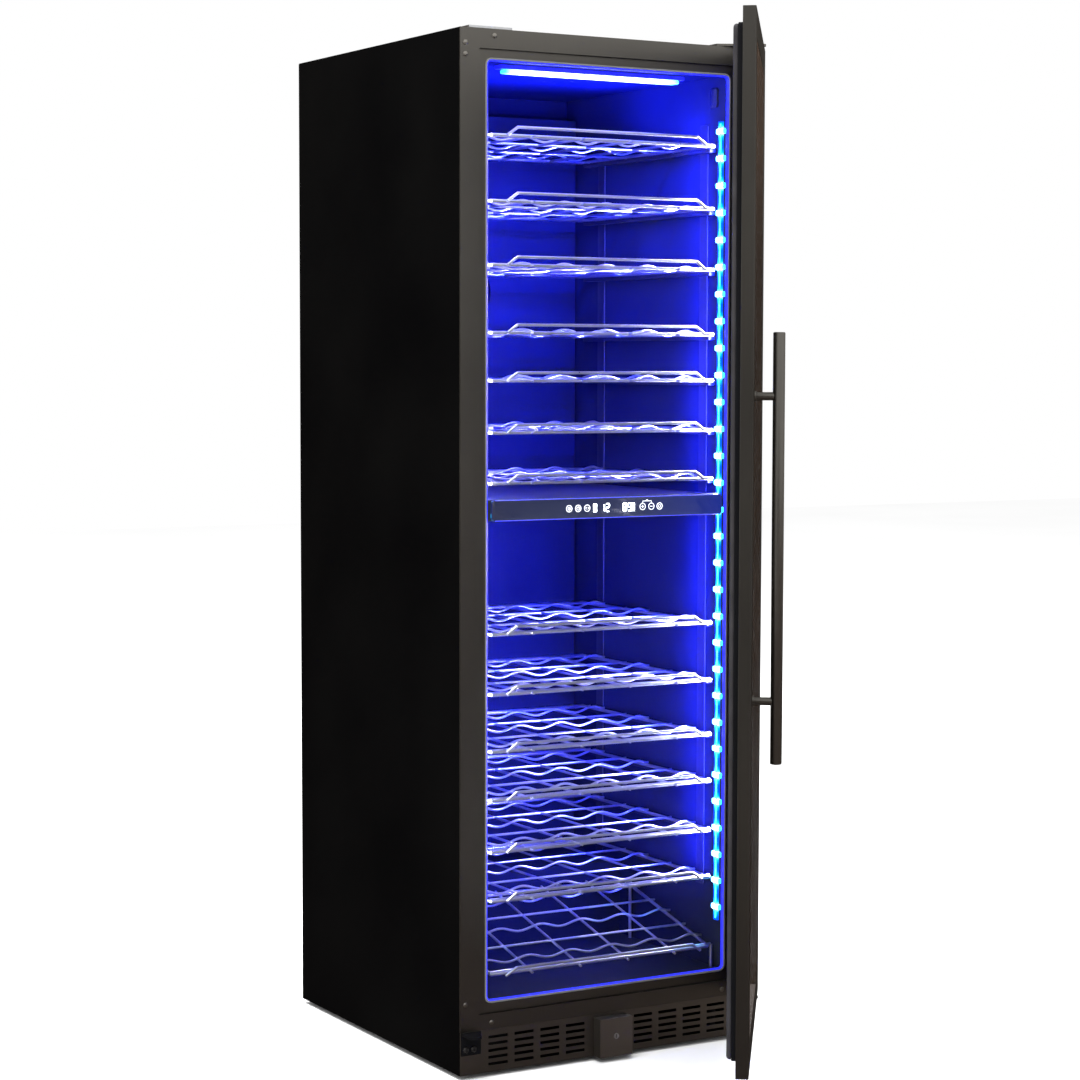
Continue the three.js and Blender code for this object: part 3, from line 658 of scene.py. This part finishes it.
# Lights ------------------------------------------------------------------------------------
def led_row(side):
    """Lens caps along one light strip, and the bright line of its channel."""
    low, high = extent(f"led_strip_{side}")
    facing = 1 if low.x < WIDTH / 2 else -1
    face = high.x if facing > 0 else low.x
    y = (low.y + high.y) / 2
    thick, proud = high.x - low.x, LED["proud"]
    lenses = Sketch()
    for i in range(LED["count"]):
        z = LED["first"] + i * LED["pitch"]
        loops = []
        for rise, inset in ((0.1 - thick, 0.0), (0.0, 0.0), (0.6 * proud, 0.7), (proud, 1.8)):
            half_y, half_z = LED["half_y"] - inset, LED["half_z"] - inset
            sides = (y - half_y, y + half_y, z - half_z, z + half_z)
            x = face + facing * rise
            loops.append([(x, a, b) for a, b in round_rectangle(*sides, 2.2, 3)])
        lenses.loops(loops)
    lenses.piece(f"led_lenses_{side}", "cabinet", LED_GLOW, slot="lamp_white")
    line = Sketch()
    x = face + facing * 0.6
    line.tube([(x, y - 1.5, low.z + 4), (x, y - 1.5, high.z - 4)], 1.1, 8)
    line.piece(f"led_channel_{side}", "cabinet", CHANNEL_GLOW, slot="lamp_white")


led_row("left")
led_row("right")


def ceiling_diffuser():
    """A housing on the ceiling, given a painted blue glow for the light of the lit bar under it."""
    low, high = extent("ceiling_lamp")
    split = low.z + 10.2
    housing = Sketch()
    housing.block((low.x - 2, low.y - 1, split), (high.x + 2, high.y + 1, high.z))
    housing.piece("lamp_housing_painted_glow", "cabinet", PAINTED_EDGE_GLOW, (), bevel=1.2, slot="black_plastic")
    bar = Sketch()
    bar.block((LAMP_SPAN[0], low.y, low.z + 3.5), (LAMP_SPAN[1], high.y, split - 0.2))
    bar.piece("ceiling_diffuser", "cabinet", LAMP_GLOW, ("ceiling_lamp",), bevel=2.5, slot="lamp_white")


ceiling_diffuser()


def wall_trim():
    """Painted highlights along the edges of the rack strips, and a small switch cover high on the right
    wall.
    """
    edges = Sketch()
    for node, way in (("shelf_rack_left", 1), ("shelf_rack_right", -1)):
        low, high = extent(node)
        wall = low.x if way > 0 else high.x
        x = wall + way * 1.6
        for y in RACK_HIGHLIGHT_LINES:
            edges.tube([(x, y, low.z + 3), (x, y, high.z - 3)], 0.7, 8)
    # painted highlight: thin pale rods for the light the rack strips' edges catch
    edges.piece("rack_painted_highlights", "cabinet", LIP_RUBBER_AND_HIGHLIGHT, slot="rubber_grey")
    cover = Sketch()
    (y0, y1), (z0, z1) = SWITCH_COVER["y"], SWITCH_COVER["z"]
    wall = OPENING["x1"] - 0.2
    loops = []
    for x, inset in ((wall, 0.0), (wall - 2.2, 0.0), (wall - 3.0, 1.0)):
        outline = round_rectangle(y0 + inset, y1 - inset, z0 + inset, z1 - inset, 4.0, 4)
        loops.append([(x, y, z) for y, z in outline])
    cover.loops(loops)
    cover.piece("switch_cover", "cabinet", PLASTIC, slot="black_plastic")


wall_trim()

# Touch strip print -------------------------------------------------------------------------
KEYS = {"power": 215, "clock": 233, "swap": 251, "plus": 364, "minus": 382, "light": 399}
DIGITS = (("1", 279), ("2", 289), ("8", 324), ("5", 334))
DIGIT = {"height": 13, "width": 6.5}
BADGES = (267, 344)  # a pair of small lit squares beside each temperature
SEGMENTS = {
    "1": "bc",
    "2": "abged",
    "5": "afgcd",
    "8": "abcdefg",
}


def touch_print():
    """Lit marks on the touch strip: rings, a link between two keys, and two temperatures."""
    low, high = extent("control_panel")
    y = low.y - 0.25
    z = (low.z + high.z) / 2
    marks = Sketch()

    def ring(x, radius, tube=0.5):
        circle = []
        for k in range(28):
            angle = 2 * math.pi * k / 28
            circle.append((x + radius * math.cos(angle), y, z + radius * math.sin(angle)))
        marks.tube(circle, tube, 6, closed=True)

    def stroke(ax, rise_a, bx, rise_b, width=0.5):
        marks.tube([(ax, y, z + rise_a), (bx, y, z + rise_b)], width, 6)

    for x in KEYS.values():
        ring(x, 5.6)
    x = KEYS["power"]
    stroke(x, -1, x, 3.4)
    ring(x, 2.6, 0.4)
    x = KEYS["clock"]
    ring(x, 2.8, 0.4)
    stroke(x, 0, x, 1.8, 0.4)
    x = KEYS["swap"]
    for way in (-1, 1):
        for rise in (2, -2):
            stroke(x + way * 3.2, 0, x + way * 1.2, rise, 0.4)
    plus, minus = KEYS["plus"], KEYS["minus"]
    stroke(plus - 2.6, 0, plus + 2.6, 0)
    stroke(plus, -2.6, plus, 2.6)
    stroke(minus - 2.6, 0, minus + 2.6, 0)
    ring(KEYS["light"], 2.4, 0.4)
    link = [(plus, y, z + 6), (plus, y, z + 9.5), (minus, y, z + 9.5), (minus, y, z + 6)]
    marks.tube(link, 0.45, 6)
    middle = (plus + minus) / 2
    for side in (middle - 2.5, middle + 2.5):
        stroke(side, 10, middle, 12.2, 0.45)
    marks.piece("touch_marks", "cabinet", ICON_GLOW, slot="gloss_black")

    digits = Sketch()

    def digit(symbol, x):
        half, width = DIGIT["height"] / 2, DIGIT["width"]
        ends = {
            "a": ((0, half), (width, half)),
            "b": ((width, half), (width, 0)),
            "c": ((width, 0), (width, -half)),
            "d": ((0, -half), (width, -half)),
            "e": ((0, -half), (0, 0)),
            "f": ((0, 0), (0, half)),
            "g": ((0, 0), (width, 0)),
        }
        for segment in SEGMENTS[symbol]:
            (ax, az), (bx, bz) = ends[segment]
            along = Vector((bx - ax, 0, bz - az)).normalized() * 0.9
            start = Vector((x + ax, y, z + az)) + along
            end = Vector((x + bx, y, z + bz)) - along
            digits.tube([start, end], 0.95, 6)

    for symbol, x in DIGITS:
        digit(symbol, x)
    for x in BADGES:
        for foot in (z + 1, z - 7):
            digits.block((x - 3.4, y - 0.2, foot), (x + 3.4, y + 0.3, foot + 6))
    digits.piece("display_digits", "cabinet", DIGIT_GLOW, slot="gloss_black")


touch_print()


def touch_strip():
    """The touch strip with rounded ends, and lines of painted blue glow along its top and bottom edges
    for the cabinet light they catch.
    """
    low, high = extent("control_panel")
    strip = Sketch()
    loops = []
    for y, inset in ((high.y, 0.0), (low.y + 1.4, 0.0), (low.y + 0.4, 0.5), (low.y, 1.5)):
        sides = (low.x + inset, high.x - inset, low.z + inset, high.z - inset)
        loops.append([(x, y, z) for x, z in round_rectangle(*sides, 6.0, 6)])
    strip.loops(loops)
    strip.piece("touch_strip", "cabinet", TOUCH_PAINTED_GLOW, ("control_panel",), slot="gloss_black")
    edges = Sketch()
    for z in (low.z + 0.5, high.z - 0.5):
        edges.tube([(low.x + 6, low.y + 0.5, z), (high.x - 6, low.y + 0.5, z)], 0.55, 6)
    edges.piece("touch_edges_painted_glow", "cabinet", TOUCH_EDGE_PAINTED_GLOW, slot="gloss_black")


touch_strip()

# Fasteners and small trim ------------------------------------------------------------------
DOME = [(0.0, 4.6), (0.7, 4.5), (1.5, 3.6), (2.0, 2.4), (2.2, 1.0)]
BOLT_HEAD = [(0.0, 5.4), (2.0, 5.4), (3.4, 4.2), (3.6, 2.4), (2.2, 2.2), (2.2, 0.4)]
FLAT_HEAD = [(0.0, 4.0), (0.9, 3.8), (1.6, 2.6), (1.0, 1.6), (1.0, 0.2)]
REAR_HEAD = [(-0.3, 4.2), (0.5, 4.1), (1.3, 3.2), (1.8, 1.8), (1.1, 1.6), (1.1, 0.2)]
LONE_PLUG = (65, CASE_TOP - 11)
PAIRED_PLUGS = [(10, CASE_TOP - 25), (10, CASE_TOP - 44), (10, 130), (61, 94)]
BRACKET_BOLTS = {"x": (9.5, 24.5), "y": -2.0, "z": 53.0}
PLATE_SCREWS = {"left": (32, 59, 86), "right": (70, 44, 18), "y": 26.0}  # from each side


def frame_plugs():
    """Domed plugs on the front frame: one alone at the top left, the others in pairs."""
    caps = Sketch()
    for x, z in [LONE_PLUG] + PAIRED_PLUGS + [(WIDTH - x, z) for x, z in PAIRED_PLUGS]:
        caps.lathe((x, 0.1, z), (0, -1, 0), DOME, 18)
    # painted highlight: the plugs use the lightened steel copy for the highlight they catch
    caps.piece("frame_plugs", "cabinet", STEEL_PAINTED_HIGHLIGHT, slot="dark_steel")


def bracket_bolts():
    """Bolt heads on the lower brackets, and screws on the plates on top."""
    bolts = Sketch()
    for x in BRACKET_BOLTS["x"]:
        for side in (x, WIDTH - x):
            place = (side, BRACKET_BOLTS["y"], BRACKET_BOLTS["z"])
            bolts.lathe(place, (0, -1, 0), BOLT_HEAD, 20)
    bolts.piece("bracket_bolts", "cabinet", BOLT_PAINT, slot="casing_black")
    screws = Sketch()
    plate_top = extent("top_plate_spare")[1].z
    for x in [*PLATE_SCREWS["left"], *(WIDTH - x for x in PLATE_SCREWS["right"])]:
        screws.lathe((x, PLATE_SCREWS["y"], plate_top), (0, 0, 1), FLAT_HEAD, 16)
    screws.piece("plate_screws", "cabinet", ZINC, slot="zinc_plate")


def opening_lip():
    """A soft bead round the opening, where the liner meets the frame, and the lip inside it with a
    painted blue glow for the LED light it catches.
    """
    lip = Sketch()
    profile = [(-2.2, 5.9), (-1.2, 4.9), (0.2, 4.7), (1.0, 5.6), (1.0, 8.0), (-2.2, 8.0)]
    lip.ring(profile, **OPENING, steps=6)
    lip.piece("opening_lip", "cabinet", LIP_RUBBER_AND_HIGHLIGHT, slot="rubber_grey")
    edge = Sketch()
    profile = [(0.9, 6.4), (1.6, 6.1), (3.6, 7.4), (3.6, 11.6), (0.9, 11.6)]
    edge.ring(profile, **OPENING, steps=6)
    edge.piece("lip_painted_glow", "cabinet", PAINTED_EDGE_GLOW, slot="liner_black")


def rear_details():
    """Screws round the rear panel, the inlet's pins, and a dark block on the lock's barrel that paints
    the shade of its key slot.
    """
    low, high = extent("rear_panel")
    screws = Sketch()
    margin = 14
    rows = 7
    for i in range(rows):
        z = low.z + margin + (high.z - low.z - 2 * margin) * i / (rows - 1)
        for x in (low.x + 12, high.x - 12):
            screws.lathe((x, high.y, z), (0, 1, 0), REAR_HEAD, 16)
    for share in (0.25, 0.5, 0.75):
        x = low.x + (high.x - low.x) * share
        screws.lathe((x, high.y, high.z - margin), (0, 1, 0), REAR_HEAD, 16)
    screws.piece("rear_screws", "cabinet", ZINC, slot="zinc_plate")
    low, high = extent("power_inlet")
    middle = (low + high) / 2
    pins = Sketch()
    for offset, rise in ((-5.5, -1.5), (0.0, 2.0), (5.5, -1.5)):
        x, z = middle.x + offset, middle.z + rise
        pins.block((x - 1.0, high.y - 17.5, z - 2.5), (x + 1.0, high.y - 3.0, z + 2.5))
    pins.piece("inlet_pins", "cabinet", ZINC, bevel=0.4, slot="zinc_plate")
    low, high = extent("lock_cylinder")
    middle = (low + high) / 2
    # painted shade: a dark block standing proud of the barrel where the key slot's hollow would lie in
    # shade
    slot = Sketch()
    x, z = middle.x, middle.z
    slot.block((x - 0.8, low.y - 0.3, z - 3.0), (x + 0.8, low.y + 1.0, z + 3.0))
    slot.piece("key_slot_painted_shade", "lock_cylinder", PLASTIC, bevel=0.3, slot="black_plastic")


frame_plugs()
rear_details()
bracket_bolts()
opening_lip()


# Door --------------------------------------------------------------------------------------
def door_border(inset, radius):
    """A rectangle inside the closed door's outline, for a ring round its panes."""
    return {
        "x0": inset,
        "x1": WIDTH - inset,
        "z0": DOOR["z0"] + inset,
        "z1": DOOR["z1"] - inset,
        "radius": radius,
    }


def door_seal():
    """The magnetic gasket: a round bead on a folded foot."""
    gasket = Sketch()
    profile = [
        (0.0, -7.6), (-0.4, -5.5), (0.3, -3.4), (1.8, -1.6), (4.2, -0.7), (7.0, -0.5), (9.6, -0.9),
        (11.0, -2.0), (11.4, -3.4), (12.6, -4.6), (15.0, -5.0), (17.4, -5.6), (18.0, -7.6),
    ]
    gasket.ring(profile, **door_border(24.0, 8.0))
    gasket.piece("gasket_bead", "door", RUBBER, ("door_gasket",), DOOR_PLACE, slot="rubber_grey")


def door_backing():
    """The plastic frame behind the gasket, with a sloped inner edge."""
    backing = Sketch()
    profile = [
        (0.0, -15.7), (0.0, -9.5), (1.2, -8.1), (24.0, -8.1), (27.0, -9.4), (30.0, -13.8),
        (30.0, -15.7),
    ]
    backing.ring(profile, **door_border(22.0, 6.0), steps=4)
    replaced = ("door_liner",)
    backing.piece("door_backing", "door", DOOR_PLASTIC, replaced, DOOR_PLACE, slot="black_plastic")


def pane_spacer():
    """The dark spacer round the edge, between the two panes."""
    spacer = Sketch()
    profile = [(0.0, -30.6), (9.0, -30.6), (9.0, -21.4), (0.0, -21.4)]
    spacer.ring(profile, **door_border(DOOR["rail"] + 1.0, 1.0), steps=2)
    spacer.piece("pane_spacer", "door", BLACK_PAINT_AND_SHADE, (), DOOR_PLACE, slot="black_plastic")


def pull_handle():
    """A long bar with chamfered ends on two collared posts."""
    handle = Sketch()
    x, y = HANDLE["x"], DOOR["front"] - HANDLE["reach"]
    radius = HANDLE["radius"]
    length = HANDLE["z1"] - HANDLE["z0"]
    bar = [
        (0.0, radius - 1.6), (0.5, radius - 0.6), (1.6, radius), (length - 1.6, radius),
        (length - 0.5, radius - 0.6), (length, radius - 1.6),
    ]
    handle.lathe((x, y, HANDLE["z0"]), (0, 0, 1), bar, 48)
    reach = HANDLE["reach"] - 0.3
    post = [(2.0, 6.5), (reach - 3.2, 6.5), (reach - 3.0, 6.5), (reach - 2.6, 8.2), (reach, 8.4)]
    middle = (HANDLE["z0"] + HANDLE["z1"]) / 2
    for way in (-1, 1):
        z = middle + way * HANDLE["post_pitch"] / 2
        handle.lathe((x, y, z), (0, 1, 0), post, 32)
    handle.piece("pull_handle", "door", STEEL_UPRIGHT, ("door_handle",), DOOR_PLACE, slot="dark_steel")


door_seal()
door_backing()
pane_spacer()
pull_handle()


# Stage, camera and lights ------------------------------------------------------------------
def place_object(name, data):
    """A new object in the scene."""
    made = bpy.data.objects.new(name, data)
    bpy.context.scene.collection.objects.link(made)
    return made


def sheet(name, half_x, half_y, place, material):
    """A flat rectangle that belongs to the stage; its face looks along its own z."""
    corners = [(-half_x, -half_y, 0), (half_x, -half_y, 0), (half_x, half_y, 0), (-half_x, half_y, 0)]
    mesh = bpy.data.meshes.new(name)
    mesh.from_pydata([place @ Vector(corner) for corner in corners], [], [(0, 1, 2, 3)])
    made = place_object(name, mesh)
    made.data.materials.append(material)
    return made


def studio():
    """A pale floor in a white room."""
    pale = Shader("floor_pale", Roughness=0.8, Specular_IOR_Level=0.0)
    tones = [(0.3, (0.93, 0.93, 0.93)), (0.7, (0.96, 0.96, 0.96))]
    pale.set("Base Color", pale.ramp(pale.noise(0.6, 2.0), tones))
    sheet("floor", 14.0, 14.0, Matrix.Identity(4), pale.material)
    world = bpy.data.worlds.new("world")
    world.use_nodes = True
    background = world.node_tree.nodes["Background"]
    background.inputs["Color"].default_value = (1.0, 1.0, 1.0, 1.0)
    background.inputs["Strength"].default_value = 1.0
    bpy.context.scene.world = world


def camera():
    """Seen from the front left at chest height, turned slightly down."""
    eye = Vector((-2066.7, -3817.0, 1217.2))
    yaw, pitch, roll = 0.527, 0.0682, -0.002
    level = math.cos(pitch)
    forward = Vector((math.sin(yaw) * level, math.cos(yaw) * level, -math.sin(pitch)))
    right = Vector((math.cos(yaw), -math.sin(yaw), 0.0))
    down = forward.cross(right)
    rolled_right = math.cos(roll) * right + math.sin(roll) * down
    rolled_down = math.cos(roll) * down - math.sin(roll) * right
    data = bpy.data.cameras.new("camera")
    data.sensor_width = 36.0
    data.lens = 86.7
    data.clip_end = 100.0
    made = place_object("camera", data)
    turn = Matrix((rolled_right, -rolled_down, -forward)).transposed().to_4x4()
    made.matrix_world = Matrix.Translation(PLACE @ eye) @ turn
    bpy.context.scene.camera = made


# The boards beside the set, in metres: centre, the way the board faces, its size and its felt.
FELTS = {
    "dark": ((0.012, 0.009, 0.007), (0.05, 0.032, 0.022)),
    "mid": ((0.09, 0.077, 0.07), (0.135, 0.112, 0.099)),
    "low": ((0.055, 0.046, 0.042), (0.085, 0.069, 0.061)),
}
FLAGS = {
    "flag_door": ((0.62, 0.17, 1.1), (-0.6, -0.8, 0), (0.64, 2.2), "dark"),
    "flag_side": ((-0.85, 1.05, 1.1), (0.5, -0.86, 0), (1.9, 2.4), "dark"),
    "flag_front": ((1.6, -2.8, 0.55), (-0.5, 0.86, 0), (6.5, 1.1), "mid"),
    "flag_behind": ((-3.0, -5.0, 1.0), (0.5, 0.86, 0), (4.5, 2.6), "dark"),
    "flag_floor": ((0.0, 0.0, 0.004), (0, 0, -1), (8.0, 8.0), "low"),
}


def felt(name, low, high):
    """Dull cloth that varies between two tones."""
    cloth = Shader(name, Roughness=1.0, Specular_IOR_Level=0.0)
    cloth.set("Base Color", cloth.ramp(cloth.noise(1.3, 3.0), [(0.3, low), (0.75, high)]))
    return cloth.material


def flags():
    """Boards that only glossy surfaces see, to darken what they mirror."""
    felts = {name: felt(f"felt_{name}", *tones) for name, tones in FELTS.items()}
    lie_down = Matrix.Rotation(math.radians(90), 4, "X")
    for name, (centre, towards, size, cloth) in FLAGS.items():
        turn = Vector(towards).to_track_quat("Y", "Z").to_matrix().to_4x4()
        place = Matrix.Translation(centre) @ turn @ lie_down
        board = sheet(name, size[0] / 2, size[1] / 2, place, felts[cloth])
        board.visible_camera = False
        board.visible_diffuse = False
        board.visible_transmission = False
        board.visible_shadow = False


def area_light(name, at, towards, size, power, colour, spread=180, glossy=False, diffuse=True):
    """A rectangular lamp in sketch millimetres, hidden from the camera and through glass."""
    data = bpy.data.lights.new(name, "AREA")
    data.shape = "RECTANGLE"
    data.size, data.size_y = size[0] * MM, size[1] * MM
    data.energy = power
    data.color = colour
    data.spread = math.radians(spread)
    lamp = place_object(name, data)
    lamp.location = PLACE @ Vector(at)
    lamp.rotation_mode = "QUATERNION"
    lamp.rotation_quaternion = Vector(towards).to_track_quat("-Z", "Y")
    lamp.visible_camera = False
    lamp.visible_glossy = glossy
    lamp.visible_diffuse = diffuse
    lamp.visible_transmission = False


BLUE = (0.004, 0.012, 1.0)
PALE = (0.85, 0.82, 1.0)
WHITE = (1.0, 1.0, 1.0)
WALL_LIGHT = {"left": (60.0, 1, 40.0), "right": (WIDTH - 60.0, -1, 35.0)}  # x, way, power


def cabinet_lights():
    """The blue light of the lamps, and pale glints that only the wires' gloss shows."""
    strip = (14, LED_HEIGHT)
    for side, (x, way, power) in WALL_LIGHT.items():
        at = (x, LED_Y, LED_MIDDLE)
        area_light(f"glow_{side}", at, (way, 1.25, 0), strip, power, BLUE, 120, glossy=True)
        area_light(
            f"glint_{side}", at, (way, 0.15, 0), strip, 6.0, PALE, 150, glossy=True, diffuse=False
        )
    area_light("wash_right", (WIDTH - 112, 80, LED_MIDDLE), (0.9, 0.3, 0), strip, 10.0, BLUE, 120)
    middle = WIDTH / 2
    area_light("top_glow", (middle, 73, CASE_TOP - 70), (0, 0.5, -1), (360, 22), 22.0, BLUE, 120)
    area_light("ceiling_wash", (middle, 200, CASE_TOP - 150), (0, -0.1, 1), (400, 240), 22.0, BLUE)


def room_lights():
    """Soft white light from above and from the camera's side."""
    area_light("key", (-1500, -3500, 3200), (0.55, 0.9, -0.55), (1600, 1600), 60.0, WHITE)
    area_light("overhead", (300, 300, 5200), (0, 0, -1), (6000, 6000), 900.0, WHITE)


studio()
camera()
flags()
cabinet_lights()
room_lights()
bpy.context.scene.view_settings.view_transform = "Standard"
